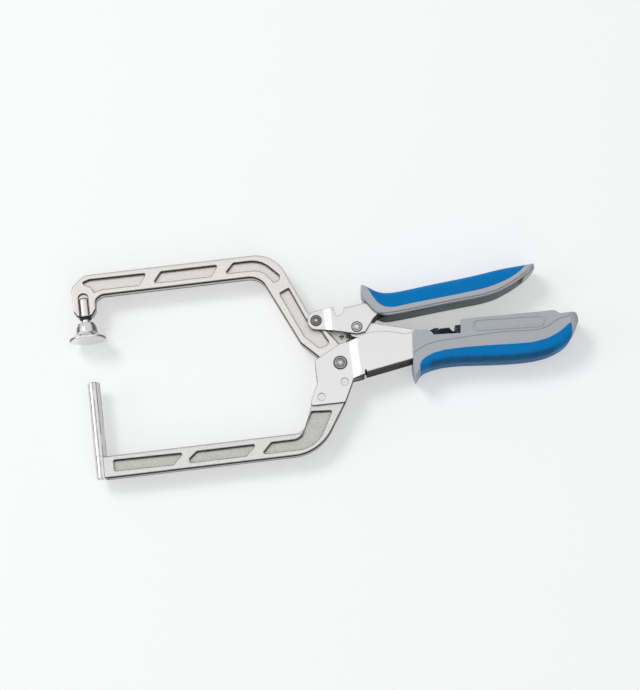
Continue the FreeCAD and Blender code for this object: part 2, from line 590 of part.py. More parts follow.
drawLoop(inside, [
    (linkX[0] - 20, rearY[0] - 20), (rearX[0] + 20, rearY[0] - 20), (rearX[0] + 20, linkY[0] + 20), (webEnd, linkY[0] + 20),
    (webEnd, underWeb(webEnd)), (webStart, underWeb(webStart)), (webStart, linkY[0] + 20), (linkX[0] - 20, linkY[0] + 20),
])
newPocket(toggleLink, inside, "toggle_link_gap", total(arm_width=1, joggle=2, side_play=-3, sheet=-2))
linkHoles = newSketch(toggleLink, "XY_Plane", "toggle_link_holes")
drawCircle(linkHoles, linkX, linkY, total(link_rivet_diameter=0.5, pivot_play=1))
drawCircle(linkHoles, rearX, rearY, total(rear_pin_diameter=0.5))
newPocket(toggleLink, linkHoles, "toggle_link_bores", total(900.0))
linkPin = newBody("link_pin")
pinSketch = newSketch(linkPin, "XY_Plane", "link_pin_circle")
drawCircle(pinSketch, rearX, rearY, total(rear_pin_diameter=0.5))
newPad(linkPin, pinSketch, "link_pin_shank", linkOut)

# Slide block: carries the rear pin in its slot, with teeth below that sit in the rack plate.
toothPitch = size("tooth_pitch")
toothHeight = size("tooth_height")
blockHalf = 5.2
blockLow = rearY[0] - 5.4
blockFront = rearX[0] - 8.6
blockBack = rearX[0] + 10.4
slideBlock = newBody("slide_block")
outline = newSketch(slideBlock, "XY_Plane", "slide_block_outline")
drawLoop(outline, [
    (blockFront, blockLow, 1.5), (blockBack, blockLow), (blockBack, rearY[0] + 7.2, 0.8), (blockBack - 3.0, rearY[0] + 7.2, 2.0),
    (rearX[0] + 1.0, rearY[0] + 4.9, 3.0), (blockFront, rearY[0] + 4.9, 2.0),
])
newPad(slideBlock, outline, "slide_block_bar", total(2 * blockHalf))
toothSketch = newSketch(slideBlock, "XY_Plane", "block_tooth_outline")
toothStart = blockBack - 1.0
drawLoop(toothSketch, [
    (toothStart, blockLow + 0.5), (toothStart, blockLow), (toothStart - toothPitch * 0.3, blockLow - toothHeight),
    (toothStart - toothPitch, blockLow), (toothStart - toothPitch, blockLow + 0.5),
])
tooth = newPad(slideBlock, toothSketch, "block_tooth", total(2 * blockHalf))


def rowOf(body, feature, name, pitch, count):
    """Copies of one feature in a row towards the front."""
    row = body.newObject("PartDesign::LinearPattern", name)
    row.Originals = [feature]
    row.Direction = (originPlane(body, "YZ_Plane"), [""])
    row.Reversed = True
    row.Mode = "Spacing"
    row.Offset = pitch[0]
    row.setExpression("Offset", pitch[1])
    row.Occurrences = int(count[0])
    row.setExpression("Occurrences", count[1])
    body.Tip = row
    return settle(row)


rowOf(slideBlock, tooth, "block_teeth", total(tooth_pitch=1), (size("tooth_count"), "sizes.tooth_count"))
slotHalf = size("rear_pin_diameter") / 2 + size("slot_play")
slotRun = size("slot_travel")
slotSketch = newSketch(slideBlock, "XY_Plane", "pin_slot_outline")
drawLoop(slotSketch, [
    (rearX[0] - slotHalf, rearY[0] - slotHalf, slotHalf - 0.01), (rearX[0] + slotRun + slotHalf, rearY[0] - slotHalf, slotHalf - 0.01),
    (rearX[0] + slotRun + slotHalf, rearY[0] + slotHalf, slotHalf - 0.01), (rearX[0] - slotHalf, rearY[0] + slotHalf, slotHalf - 0.01),
])
newPocket(slideBlock, slotSketch, "pin_slot", total(100.0))
screwBore = newSketch(slideBlock, "YZ_Plane", "screw_bore_circle", (0, 0, blockBack))
drawCircle(screwBore, rearY, total(), total(screw_radius=1, pivot_play=1))
newPocket(slideBlock, screwBore, "screw_bore", total(2 * (blockBack - rearX[0] - slotRun - slotHalf)))

# Rack plate: rests on the channel's web, its teeth up into the block's teeth.
rackPlate = newBody("rack_plate")
webTop = at(53.4, -4.8)[1] + sheetThick
outline = newSketch(rackPlate, "XY_Plane", "rack_plate_outline")
rackTop = blockLow - toothHeight - 0.05
rackFront = blockFront - 2.0
rackBack = blockBack + 0.6
webSlope = (shellWeb[2][1] - shellWeb[1][1]) / (shellWeb[2][0] - shellWeb[1][0])
drawLoop(outline, [
    (rackFront, webTop + webSlope * (rackFront - shellWeb[1][0])), (rackBack, webTop + webSlope * (rackBack - shellWeb[1][0])),
    (rackBack, rackTop), (rackFront, rackTop, 0.8),
])
newPad(rackPlate, outline, "rack_plate_bar", total(arm_width=1, joggle=2))
toothSketch = newSketch(rackPlate, "XY_Plane", "rack_tooth_outline")
toothRight = toothStart + toothPitch * 0.7 - 0.25
toothLeft = toothStart - toothPitch * 0.3 + 0.1
drawLoop(toothSketch, [
    (toothRight, rackTop - 0.5), (toothRight, rackTop), (toothStart, rackTop + toothHeight - 0.35),
    (toothLeft, rackTop), (toothLeft, rackTop - 0.5),
])
tooth = newPad(rackPlate, toothSketch, "rack_tooth", total(2 * blockHalf))
rowOf(rackPlate, tooth, "rack_teeth", total(tooth_pitch=1), (size("tooth_count") + 1, "sizes.tooth_count + 1"))

# Thumb screw: a knurled wheel on a plain shank, turned in block and bracket.
wheelStart = blockBack + 0.5
wheelEnd = wheelStart + size("wheel_width")
bracketStart = wheelEnd + 3.6
bracketEnd = bracketStart + size("bracket_thickness")
springLength = size("coil_pitch") * size("coil_turns") + size("coil_wire")
nutStart = bracketEnd + springLength + 0.6
nutEnd = nutStart + size("nut_thickness")
screwRadius = size("screw_radius")
wheelRadius = size("wheel_radius")
thumbScrew = turned("thumb_screw", [
    (0, blockBack - 2.8), (screwRadius - 0.4, blockBack - 2.8), (screwRadius, blockBack - 2.4), (screwRadius, wheelStart),
    (wheelRadius - 0.6, wheelStart), (wheelRadius, wheelStart + 0.6), (wheelRadius, wheelEnd - 0.4), (4.4, wheelEnd + 1.8),
    (4.4, bracketStart - 0.1), (screwRadius, bracketStart - 0.1), (screwRadius, nutEnd + 1.2), (screwRadius - 0.5, nutEnd + 1.7),
    (0, nutEnd + 1.7),
], "X", total(), rearY)
groove = newSketch(thumbScrew, "YZ_Plane", "wheel_groove_outline", (0, rearY[0], wheelStart - 1.0))
groove.AttachmentOffset = FreeCAD.Placement(vec(rearY[0], 0, wheelStart - 1.0), FreeCAD.Rotation())
knurlDepth = size("knurl_depth")
drawLoop(groove, [(wheelRadius + 0.5, -0.75), (wheelRadius + 0.5, 0.75), (wheelRadius - knurlDepth, 0)])
groovePocket = newPocket(thumbScrew, groove, "wheel_groove", total(2 * size("wheel_width") + 2.0))
grooves = thumbScrew.newObject("PartDesign::PolarPattern", "wheel_grooves")
grooves.Originals = [groovePocket]
grooves.Axis = (groove, ["N_Axis"])
grooves.Angle = 360
grooves.Occurrences = int(size("knurls"))
grooves.setExpression("Occurrences", "sizes.knurls")
thumbScrew.Tip = grooves
settle(grooves)

# Screw bracket: a black plate across the channel, notched over its web.
screwBracket = newBody("screw_bracket")
plate = newSketch(screwBracket, "YZ_Plane", "bracket_outline", (0, 0, bracketStart))
bracketFoot = webTop + webSlope * (bracketEnd - shellWeb[1][0])
drawLoop(plate, [
    (bracketFoot, -wideIn), (rearY[0] + 7.4, -wideIn, 2.5), (rearY[0] + 7.4, wideIn, 2.5), (bracketFoot, wideIn),
])
newPad(screwBracket, plate, "bracket_plate", total(bracket_thickness=1), False)
bore = newSketch(screwBracket, "YZ_Plane", "bracket_bore_circle", (0, 0, bracketEnd + 1.0))
drawCircle(bore, rearY, total(), total(screw_radius=1, pivot_play=1))
newPocket(screwBracket, bore, "bracket_bore", total(bracket_thickness=4), False)

# Screw spring: a round-wire coil between the bracket and the end nut.
screwSpring = newBody("screw_spring")
coil = newSketch(screwSpring, "XY_Plane", "screw_spring_wire", (bracketEnd + 0.15, rearY[0], 0), {"y": rearY[1]})
drawCircle(coil, total(coil_wire=0.5), total(coil_radius=1), total(coil_wire=0.5))
winding = screwSpring.newObject("PartDesign::AdditiveHelix", "screw_spring_coil")
winding.Profile = coil
winding.ReferenceAxis = (coil, ["H_Axis"])
winding.Mode = "pitch-turns-angle"
winding.Pitch = size("coil_pitch")
winding.setExpression("Pitch", "sizes.coil_pitch * 1 mm")
winding.Turns = size("coil_turns")
winding.setExpression("Turns", "sizes.coil_turns")
settle(winding)

# End nut on the screw.
endNut = newBody("end_nut")
hexagon = newSketch(endNut, "YZ_Plane", "nut_outline", (0, 0, nutStart))
corner = size("nut_flats") / math.sqrt(3)
drawLoop(hexagon, [
    (rearY[0] + corner * math.cos(math.radians(60 * k)), corner * math.sin(math.radians(60 * k)), 0.4) for k in range(6)
])
newPad(endNut, hexagon, "nut_block", total(nut_thickness=1), False)
bore = newSketch(endNut, "YZ_Plane", "nut_bore_circle", (0, 0, nutEnd + 1.0))
drawCircle(bore, rearY, total(), total(screw_radius=1))
newPocket(endNut, bore, "nut_bore", total(nut_thickness=3), False)

# Swivel pad on its ball stud, with the black ring under the boss.
padX = total(pad_axis=1)
padFace = innerLevel - size("pad_drop")
padTop = size("pad_thickness")
ballRise = size("ball_rise")
ballRadius = size("ball_radius")
padRadius = size("pad_diameter") / 2
socketRadius = size("socket_radius")
studRadius = size("stud_radius")
toFace = total(pivot_rise=1, upper_rise=1, pad_drop=-1)
swivelPad = turned("swivel_pad", [
    (0, 0), (padRadius - 0.9, 0, 0.7), (padRadius, 1.0, 0.7), (padRadius - 0.4, size("pad_rim"), 0.4),
    (socketRadius + 1.6, padTop, 1.4), (socketRadius, padTop + 1.9, 1.2), (socketRadius - 0.4, ballRise + 1.2, 3.0),
    (ballRadius + 0.9, ballRise + 4.5, 0.8), (ballRadius - 0.2, ballRise + 4.5), (ballRadius - 0.6, ballRise + 2.45), (0, ballRise + 2.45),
], "Y", padX, toFace)
hollow = newSketch(swivelPad, "XY_Plane", "socket_profile", (padX[0], padFace, 0), {"x": padX[1], "y": toFace[1]})
ballPlay = ballRadius + size("pivot_play")
low = vec(0, ballRise - ballPlay, 0)
side = vec(ballPlay, ballRise, 0)
high = vec(0, ballRise + ballPlay, 0)
hollow.addGeometry([Part.Arc(low, side, high), Part.LineSegment(high, low)], False)
socketCut = swivelPad.newObject("PartDesign::Groove", "ball_socket")
socketCut.Profile = hollow
socketCut.ReferenceAxis = (hollow, ["V_Axis"])
socketCut.Angle = 360
settle(socketCut)

neckTop = bossEnd - padFace
studTop = neckTop + size("boss_depth") - 0.6
ringThick = size("ring_thickness")
ringRadius = size("ring_radius")
padStud = newBody("pad_stud")
profile = newSketch(padStud, "XY_Plane", "pad_stud_profile", (padX[0], padFace, 0), {"x": padX[1], "y": toFace[1]})
neckRadius = studRadius - 0.1
neckStart = ballRise + math.sqrt(ballRadius ** 2 - neckRadius ** 2)
foot = vec(0, ballRise - ballRadius, 0)
neck = vec(neckRadius, neckStart, 0)
bulge = vec(ballRadius, ballRise, 0)
corners = [neck, vec(neckRadius, neckTop - ringThick - 0.1, 0), vec(studRadius, neckTop - ringThick - 0.1, 0),
           vec(studRadius, studTop, 0), vec(0, studTop, 0), foot]
pieces = [Part.Arc(foot, bulge, neck)]
pieces += [Part.LineSegment(one, two) for one, two in zip(corners[:-1], corners[1:])]
profile.addGeometry(pieces, False)
studTurn = padStud.newObject("PartDesign::Revolution", "pad_stud_turn")
studTurn.Profile = profile
studTurn.ReferenceAxis = (profile, ["V_Axis"])
studTurn.Angle = 360
settle(studTurn)
turned("stud_ring", [
    (studRadius, neckTop - ringThick), (ringRadius, neckTop - ringThick, 0.5), (ringRadius, neckTop - 0.1, 0.3),
    (studRadius, neckTop - 0.1),
], "Y", padX, toFace)

# Return spring: from the moving arm's lug to the tab of the channel.
springDx = tabX[0] - lugX[0]
springDy = tabY[0] - lugY[0]
springSpan = math.hypot(springDx, springDy)
wire = size("spring_wire") / 2
hook = size("hook_radius")
coilStart = 2 * hook - wire
coilEnd = springSpan - coilStart
coils = int(size("spring_coils"))
coilRadius = size("spring_radius")
ridge = (coilEnd - coilStart) / coils
profilePoints = [(0, coilStart)]
for index in range(coils):
    profilePoints.append((coilRadius - wire * 1.1, coilStart + ridge * index))
    profilePoints.append((coilRadius, coilStart + ridge * (index + 0.5)))
profilePoints += [(coilRadius - wire * 1.1, coilEnd), (0, coilEnd)]
coilBody = turned("return_spring_coil", profilePoints, "X", total(), total(), False)
hookRings = []
for name, centre in (("front_loop", hook), ("rear_loop", springSpan - hook)):
    ring = doc.addObject("Part::Torus", "return_spring_" + name)
    ring.setExpression("Radius1", "sizes.hook_radius * 1 mm")
    ring.setExpression("Radius2", "sizes.spring_wire * 0.5 mm")
    ring.Placement = FreeCAD.Placement(vec(centre, 0, 0), FreeCAD.Rotation(vec(1, 0, 0), 90))
    hookRings.append(ring)
returnSpring = doc.addObject("Part::MultiFuse", "return_spring")
returnSpring.Shapes = [coilBody] + hookRings
returnSpring.Placement = FreeCAD.Placement(vec(lugX[0], lugY[0], 0),
                                           FreeCAD.Rotation(vec(0, 0, 1), math.degrees(math.atan2(springDy, springDx))))
nodes.append(returnSpring)
doc.recompute()


def gripBlock(name, stations, roundHigh, inset, sideOutline, planEnd, planRound):
    """A moulded grip: cross sections lofted along X, then trimmed to its side and plan outlines."""
    body = newBody(name, False)
    sections = []
    for index, (forward, low, high, half, radius) in enumerate(stations):
        sketch = newSketch(body, "YZ_Plane", "%s_section_%d" % (name, index), (0, 0, reach + forward),
                           {"z": total(forward, reach=1)[1]})
        big = max(radius - inset, 0.8)
        small = 1.2
        lowRadius = small if roundHigh else big
        highRadius = big if roundHigh else small
        bottom = rise + low + (0 if roundHigh else inset)
        top = rise + high - (inset if roundHigh else 0)
        drawLoop(sketch, [
            (bottom, -half + inset, lowRadius), (top, -half + inset, highRadius),
            (top, half - inset, highRadius), (bottom, half - inset, lowRadius),
        ])
        sections.append(sketch)
    loft = body.newObject("PartDesign::AdditiveLoft", name + "_loft")
    loft.Profile = sections[0]
    loft.Sections = sections[1:]
    settle(loft)
    keepInside(body, name + "_side", "XY_Plane", sideOutline)
    half = size("grip_half") - inset
    keepInside(body, name + "_plan", "XZ_Plane", [
        (0, -half - 5), (planEnd, -half, planRound), (planEnd, half, planRound), (0, half + 5),
    ])
    return body


def regionBody(name, points, length):
    body = newBody(name, False)
    sketch = newSketch(body, "XY_Plane", name + "_outline")
    drawLoop(sketch, points)
    newPad(body, sketch, name + "_block", length)
    return body


def boolean(kind, name, base, tool, kept=False):
    item = doc.addObject(kind, name)
    item.Base = base
    item.Tool = tool
    settle(item)
    item.Label = name
    if kept:
        nodes.append(item)
    return item


wall = size("grip_wall")
gripHalf = size("grip_half")
gripRound = size("grip_round")

# Lever grip: grey moulding, open below, under a blue cover. X, low, high, half width, rounding.
leverStations = [
    (19.9, 21.7, 54.9, gripHalf, 5), (26.9, 21.7, 52.9, gripHalf, 6), (33.6, 21.7, 48.9, gripHalf, 7), (40.9, 21.7, 47.2, gripHalf, 7), (51.3, 21.7, 47.5, gripHalf, 7),
    (66.5, 21.7, 49.0, gripHalf, 7), (96.8, 21.7, 51.7, gripHalf, 7), (111.9, 21.7, 53.4, gripHalf, 7), (124.9, 21.7, 54.9, gripHalf, 6.5), (133.9, 21.7, 55.5, gripHalf, 6.5),
    (142.9, 21.7, 55.9, gripHalf, 6), (152.9, 21.7, 56.3, gripHalf, 6),
]
leverSide = [
    at(22.1, 59.7), at(21.5, 49.7, 8), at(22.9, 42.5, 8), at(29.5, 33.1, 9), at(36.9, 29.5, 10), at(47.4, 30.0, 40), at(79.5, 32.8, 90),
    at(107.7, 34.9, 60), at(119.5, 36.9, 40), at(131.5, 41.9, 50), at(142.5, 47.9, 40), at(149.5, 53.1, 1.2), at(148.7, 59.7),
]
leverSkin = gripBlock("lever_grip_skin", leverStations, True, 0.0, leverSide, at(149.5, 0)[0], 9.0)
leverCore = gripBlock("lever_grip_core", leverStations, True, wall, [
    at(28.4, 59.7), at(29.5, 47.7, 3), at(33.3, 39.3, 5), at(40.9, 33.5, 8), at(57.3, 35.1, 60), at(91.7, 37.9, 80), at(119.7, 41.3, 30),
    at(130.1, 44.9, 30), at(141.5, 52.1, 1), at(141.5, 59.7),
], at(141.9, 0)[0], 7.0)
leverCoverZone = regionBody("lever_cover_zone", [
    at(26.3, 61.7), at(26.4, 51.3), at(28.9, 45.1, 14), at(32.1, 39.6, 10), at(36.3, 36.1, 9), at(43.5, 34.9, 14), at(57.3, 36.3, 60),
    at(91.7, 39.0, 90), at(109.4, 40.8, 60), at(119.1, 42.7, 50), at(129.1, 46.1, 50), at(136.3, 49.6, 30), at(143.9, 55.9), at(143.9, 61.7),
], total(grip_half=3))
leverCavity = regionBody("lever_grip_cavity", [
    at(10.9, 10.7), at(140.4, 10.7), at(140.4, 50.3, 1), at(120.9, 48.8), at(96.9, 47.0), at(50.9, 43.5), at(34.9, 43.2),
    at(25.4, 42.3), at(10.9, 40.5),
], insideWidth)
leverCover = boolean("Part::Common", "lever_cover_block", leverSkin, leverCoverZone)
leverCover = boolean("Part::Cut", "lever_cover_shell", leverCover, leverCore)
boolean("Part::Cut", "lever_grip_cover", leverCover, leverCavity, True)
leverRim = boolean("Part::Cut", "lever_grip_rim", leverSkin, leverCoverZone)
leverSolid = boolean("Part::Fuse", "lever_grip_block", leverRim, leverCore)
lipPoints = [
    at(28.9, 15.7), at(160.9, 15.7), at(160.9, 54.7), at(148.9, 54.3), at(141.9, 49.5, 40), at(130.9, 43.5, 50), at(119.1, 38.5, 40),
    at(107.5, 36.5, 60), at(79.5, 34.4, 90), at(47.4, 31.6, 40), at(37.5, 31.3), at(28.9, 32.1),
]
lipOut = regionBody("lip_region", lipPoints, total(grip_half=3))
lipIn = regionBody("lip_middle", lipPoints, total(grip_half=2, panel_step=-2))
lipSlabs = boolean("Part::Cut", "lip_slabs", lipOut, lipIn)
leverSolid = boolean("Part::Cut", "lever_grip_lip", leverSolid, lipSlabs)
boolean("Part::Cut", "lever_grip", leverSolid, leverCavity, True)

# Lower grip: grey moulding over the channel, flange in front, notch for the wheel, blue cover below.
lowerStations = [
    (48.9, -18.6, 25.7, gripHalf, 4), (54.5, -17.6, 25.7, gripHalf, 4.5), (57.0, -14.6, 25.7, gripHalf, 5), (59.9, -12.9, 25.7, gripHalf, 6), (66.4, -11.3, 25.7, gripHalf, 7), (76.9, -10.3, 25.7, gripHalf, 7),
    (89.0, -10.7, 25.7, gripHalf, 7), (107.9, -12.4, 25.7, gripHalf, 7), (125.9, -13.6, 25.7, gripHalf, 7), (138.9, -13.6, 25.7, gripHalf, 7), (148.9, -12.4, 25.7, gripHalf, 7),
    (156.9, -9.9, 25.7, gripHalf, 6.5), (164.4, -5.9, 25.7, gripHalf, 6), (169.9, 0.1, 25.7, gripHalf, 5), (175.5, 10.1, 25.7, gripHalf, 4),
]
lowerSide = [
    at(54.1, -26.3), at(51.8, -10.3, 14), at(54.5, 16.0, 1), at(64.9, 15.8, 1), at(68.5, 11.3, 1), at(88.8, 10.1, 0.8), at(90.1, 20.3, 1.2),
    at(158.1, 18.8, 2), at(162.1, 16.0, 2), at(174.1, 16.1, 2.5), at(175.5, 12.3, 1), at(175.5, -26.3),
]
lowerSkin = gripBlock("lower_grip_skin", lowerStations, False, 0.0, lowerSide, at(175.5, 0)[0], 8.0)
lowerCore = gripBlock("lower_grip_core", lowerStations, False, wall, [
    at(56.9, -24.3), at(56.5, 1.7), at(170.5, 7.7), at(170.5, -24.3),
], at(170.9, 0)[0], 6.5)
lowerCoverZone = regionBody("lower_cover_zone", [
    at(56.5, -34.3), at(56.5, -9.5), at(58.3, -6.5, 4), at(62.3, -3.9, 8), at(68.4, -1.8, 14), at(76.4, -0.7, 24), at(88.9, -0.6, 60),
    at(104.9, -1.1, 60), at(124.9, -2.3, 60), at(139.5, -2.9, 30), at(151.4, -1.0, 24), at(160.8, 3.0, 30), at(168.7, 8.7, 0.5),
    at(169.4, 6.3, 2), at(168.8, 0.7, 20), at(167.1, -6.3, 20), at(164.9, -16.3), at(164.9, -34.3),
], total(grip_half=3))
lowerCavity = regionBody("lower_grip_cavity", [
    at(40.9, -6.89), at(53.4, -4.8, 30), at(159.2, -0.8), at(159.2, 14.7, 1), at(92.9, 16.9, 1), at(92.9, 35.7), at(40.9, 35.7),
], insideWidth)
lowerCover = boolean("Part::Common", "lower_cover_block", lowerSkin, lowerCoverZone)
boolean("Part::Cut", "lower_grip_cover", lowerCover, lowerCore, True)
lowerRim = boolean("Part::Cut", "lower_grip_rim", lowerSkin, lowerCoverZone)
lowerSolid = boolean("Part::Fuse", "lower_grip_block", lowerRim, lowerCore)
panelPoints = [
    at(47.9, -4.9), at(55.1, 0.1, 6), at(63.2, 4.1, 18), at(71.4, 5.6, 30), at(91.3, 6.3, 90), at(117.6, 7.0, 90), at(143.6, 5.3, 30),
    at(151.1, 6.5, 18), at(159.8, 11.1, 10), at(180.9, 15.9), at(180.9, 16.6), at(159.3, 11.8, 10), at(150.9, 7.2, 18), at(143.6, 6.0, 30),
    at(117.6, 7.7, 90), at(91.3, 7.0, 90), at(71.3, 6.3, 30), at(62.9, 4.8, 18), at(54.7, 0.8, 6), at(47.9, -4.1),
]
panelOut = regionBody("panel_region", panelPoints, total(grip_half=3))
panelIn = regionBody("panel_middle", panelPoints, total(grip_half=2, panel_step=-2))
panelSlabs = boolean("Part::Cut", "panel_slabs", panelOut, panelIn)
lowerSolid = boolean("Part::Cut", "lower_grip_panel", lowerSolid, panelSlabs)
ovalRing = newBody("oval_rim", False)
oval = newSketch(ovalRing, "XY_Plane", "oval_rim_outline")
ovalCentre = vec(reach + 123.7, rise + 13.4, 0)
along = vec(math.cos(math.radians(-3.1)), math.sin(math.radians(-3.1)), 0)
across = vec(-along.y, along.x, 0)
for inset in (0.0, size("oval_rim")):
    far = size("oval_length") / 2 - inset
    high = size("oval_height") / 2 - inset
    corners = [ovalCentre + along * far * a + across * high * b for a, b in ((-1, -1), (1, -1), (1, 1), (-1, 1))]
    drawLoop(oval, [(corner.x, corner.y, high * 0.96) for corner in corners])
newPad(ovalRing, oval, "oval_rim_block", total(grip_half=2, oval_rise=2))
lowerSolid = boolean("Part::Fuse", "lower_grip_with_rim", lowerSolid, ovalRing)
boolean("Part::Cut", "lower_grip", lowerSolid, lowerCavity, True)

doc.recompute()
for item in doc.Objects:
    if "Invalid" in item.State or "Error" in item.State:
        raise RuntimeError(item.Label + " is not built: " + str(item.State))
triangles = 0
for node in nodes:
    shape = node.Shape
    if shape.isNull() or not shape.isValid() or not shape.Solids:
        raise RuntimeError(node.Label + " has no valid solid")
    box = shape.BoundBox
    count = len(shape.copy().tessellate(0.3)[1])
    triangles += count
    print("%-18s solids %d volume %9.1f triangles %5d  x %.1f %.1f  y %.1f %.1f  z %.1f %.1f" % (
        node.Label, len(shape.Solids), shape.Volume, count, box.XMin, box.XMax, box.YMin, box.YMax, box.ZMin, box.ZMax))
for node in nodes:
    node.Shape.exportStep("parts/" + node.Label + ".step")
print("pieces", len(nodes), "triangles", triangles)
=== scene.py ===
import bpy
import math
import numpy as np
from mathutils import Matrix, Vector


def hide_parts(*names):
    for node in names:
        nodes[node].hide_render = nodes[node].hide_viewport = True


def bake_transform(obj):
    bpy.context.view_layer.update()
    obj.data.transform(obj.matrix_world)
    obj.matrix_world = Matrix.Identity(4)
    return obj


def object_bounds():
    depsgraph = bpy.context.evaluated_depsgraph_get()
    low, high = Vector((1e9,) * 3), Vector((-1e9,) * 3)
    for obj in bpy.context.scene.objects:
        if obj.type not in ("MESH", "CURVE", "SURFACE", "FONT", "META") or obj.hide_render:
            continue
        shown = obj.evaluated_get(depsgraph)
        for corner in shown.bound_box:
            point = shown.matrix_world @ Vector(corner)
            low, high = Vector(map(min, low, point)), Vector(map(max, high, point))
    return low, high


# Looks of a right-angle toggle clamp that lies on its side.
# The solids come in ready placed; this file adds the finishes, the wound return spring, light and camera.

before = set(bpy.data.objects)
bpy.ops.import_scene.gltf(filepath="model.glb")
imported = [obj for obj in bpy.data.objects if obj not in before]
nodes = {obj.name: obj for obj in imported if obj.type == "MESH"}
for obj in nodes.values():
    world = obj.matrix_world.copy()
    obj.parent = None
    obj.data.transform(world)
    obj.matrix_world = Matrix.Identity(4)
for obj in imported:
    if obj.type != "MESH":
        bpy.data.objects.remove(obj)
solidBox = [list(corner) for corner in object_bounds()]
mm = 0.001
print("stage: solids are in", len(nodes))


# Small helpers for materials

class Wire:
    # One output socket of a material. Operators on it add Math nodes.
    def __init__(self, tree, socket=None):
        self.tree = tree
        self.socket = socket

    def node(self, kind, settings=None, inputs=None, output=0):
        made = self.tree.nodes.new(kind)
        for key, value in (settings or {}).items():
            if key == "stops":
                elements = made.color_ramp.elements
                while len(elements) < len(value):
                    elements.new(1.0)
                for element, (spot, shade) in zip(elements, value):
                    element.position = spot
                    element.color = (shade, shade, shade, 1.0)
            else:
                setattr(made, key, value)
        for key, value in (inputs or {}).items():
            if isinstance(value, Wire):
                self.tree.links.new(value.socket, made.inputs[key])
            else:
                made.inputs[key].default_value = value
        return Wire(self.tree, made.outputs[output])

    def calculate(self, operation, *values):
        return self.node("ShaderNodeMath", {"operation": operation}, dict(enumerate(values)))

    def __add__(self, other): return self.calculate("ADD", self, other)
    def __radd__(self, other): return self.calculate("ADD", other, self)
    def __sub__(self, other): return self.calculate("SUBTRACT", self, other)
    def __rsub__(self, other): return self.calculate("SUBTRACT", other, self)
    def __mul__(self, other): return self.calculate("MULTIPLY", self, other)
    def __truediv__(self, other): return self.calculate("DIVIDE", self, other)
    def __abs__(self): return self.calculate("ABSOLUTE", self)

    # The X, Y and Z parts of a vector.
    def parts(self):
        return [self.node("ShaderNodeSeparateXYZ", inputs={0: self}, output=i) for i in range(3)]


class Finish:
    # A material under way: its shader, the place on the object in millimetres and the way a surface faces.
    def __init__(self, name, look):
        self.material = bpy.data.materials.new(name)
        self.material.use_nodes = True
        self.tree = self.material.node_tree
        self.shader = self.tree.nodes["Principled BSDF"]
        for key, value in look.items():
            self.shader.inputs[key].default_value = value
        start = Wire(self.tree)
        metres = start.node("ShaderNodeTexCoord", output="Object")
        self.place = start.node("ShaderNodeVectorMath", {"operation": "SCALE"}, {0: metres, "Scale": 1 / mm})
        self.faces = start.node("ShaderNodeNewGeometry", output="Normal")
        self.x, self.y, self.z = self.place.parts()
        self.facesX, self.facesY, self.facesZ = self.faces.parts()

    # Noise from 0 to 1 whose grains are about grain millimetres wide; stretch lengthens them along an axis.
    def noise(self, grain, detail=2.0, stretch=None, rough=0.5):
        vector = self.place
        if stretch:
            share = [1 / length for length in stretch]
            vector = vector.node("ShaderNodeVectorMath", {"operation": "MULTIPLY"}, {0: vector, 1: share})
        return vector.node("ShaderNodeTexNoise", inputs={
            "Vector": vector, "Scale": 1.0 / grain, "Detail": detail, "Roughness": rough})

    # A smooth step: 0 at low and below, 1 at high and above.
    def ramp(self, value, low, high):
        return value.node("ShaderNodeMapRange", {"interpolation_type": "SMOOTHSTEP", "clamp": True}, {
            "Value": value, "From Min": low, "From Max": high, "To Min": 0.0, "To Max": 1.0})

    def mix(self, factor, first, second):
        return factor.node("ShaderNodeMix", {"data_type": "RGBA"}, {0: factor, 6: first, 7: second}, 2)

    # The way a surface faces once its edges are rounded over reach millimetres.
    def softened(self, reach, samples=4):
        return self.place.node("ShaderNodeBevel", {"samples": samples}, {"Radius": reach * mm})

    # 1 within reach millimetres of an edge, 0 away from edges: there the softened normal leaves the true one.
    def edges(self, reach, low, high):
        soft = self.softened(reach)
        same = soft.node("ShaderNodeVectorMath", {"operation": "DOT_PRODUCT"}, {0: soft, 1: self.faces}, "Value")
        return self.ramp(1.0 - same, low, high)

    # 1 beside a wall that faces towards -Y, within reach millimetres of its edges.
    def lowSide(self, reach, low=0.10, high=0.30):
        return self.ramp(0.0 - self.softened(reach, 6).parts()[1], low, high)

    # The larger of two values.
    def most(self, first, second):
        return first.calculate("MAXIMUM", first, second)

    # How far a value has come from one whole number to the next.
    def fraction(self, value):
        return value.calculate("FRACT", value)

    # Distance in the X Y plane from a point, in millimetres.
    def distance(self, x, y):
        dx, dy = self.x - x, self.y - y
        return dx.calculate("SQRT", dx * dx + dy * dy)

    def drive(self, socket, value):
        self.tree.links.new(value.socket, self.shader.inputs[socket])

    # Relief heights are in millimetres; edge is the radius of softened edges.
    def relief(self, height, edge):
        inputs = {"Strength": 1.0, "Distance": mm, "Height": height, "Normal": self.softened(edge)}
        self.drive("Normal", height.node("ShaderNodeBump", {}, inputs))


def paint(finish, *names):
    for name in names:
        data = nodes[name].data
        data.materials.clear()
        data.materials.append(finish.material)


def darker(colour, share):
    return tuple(part * share for part in colour[:3]) + (1.0,)


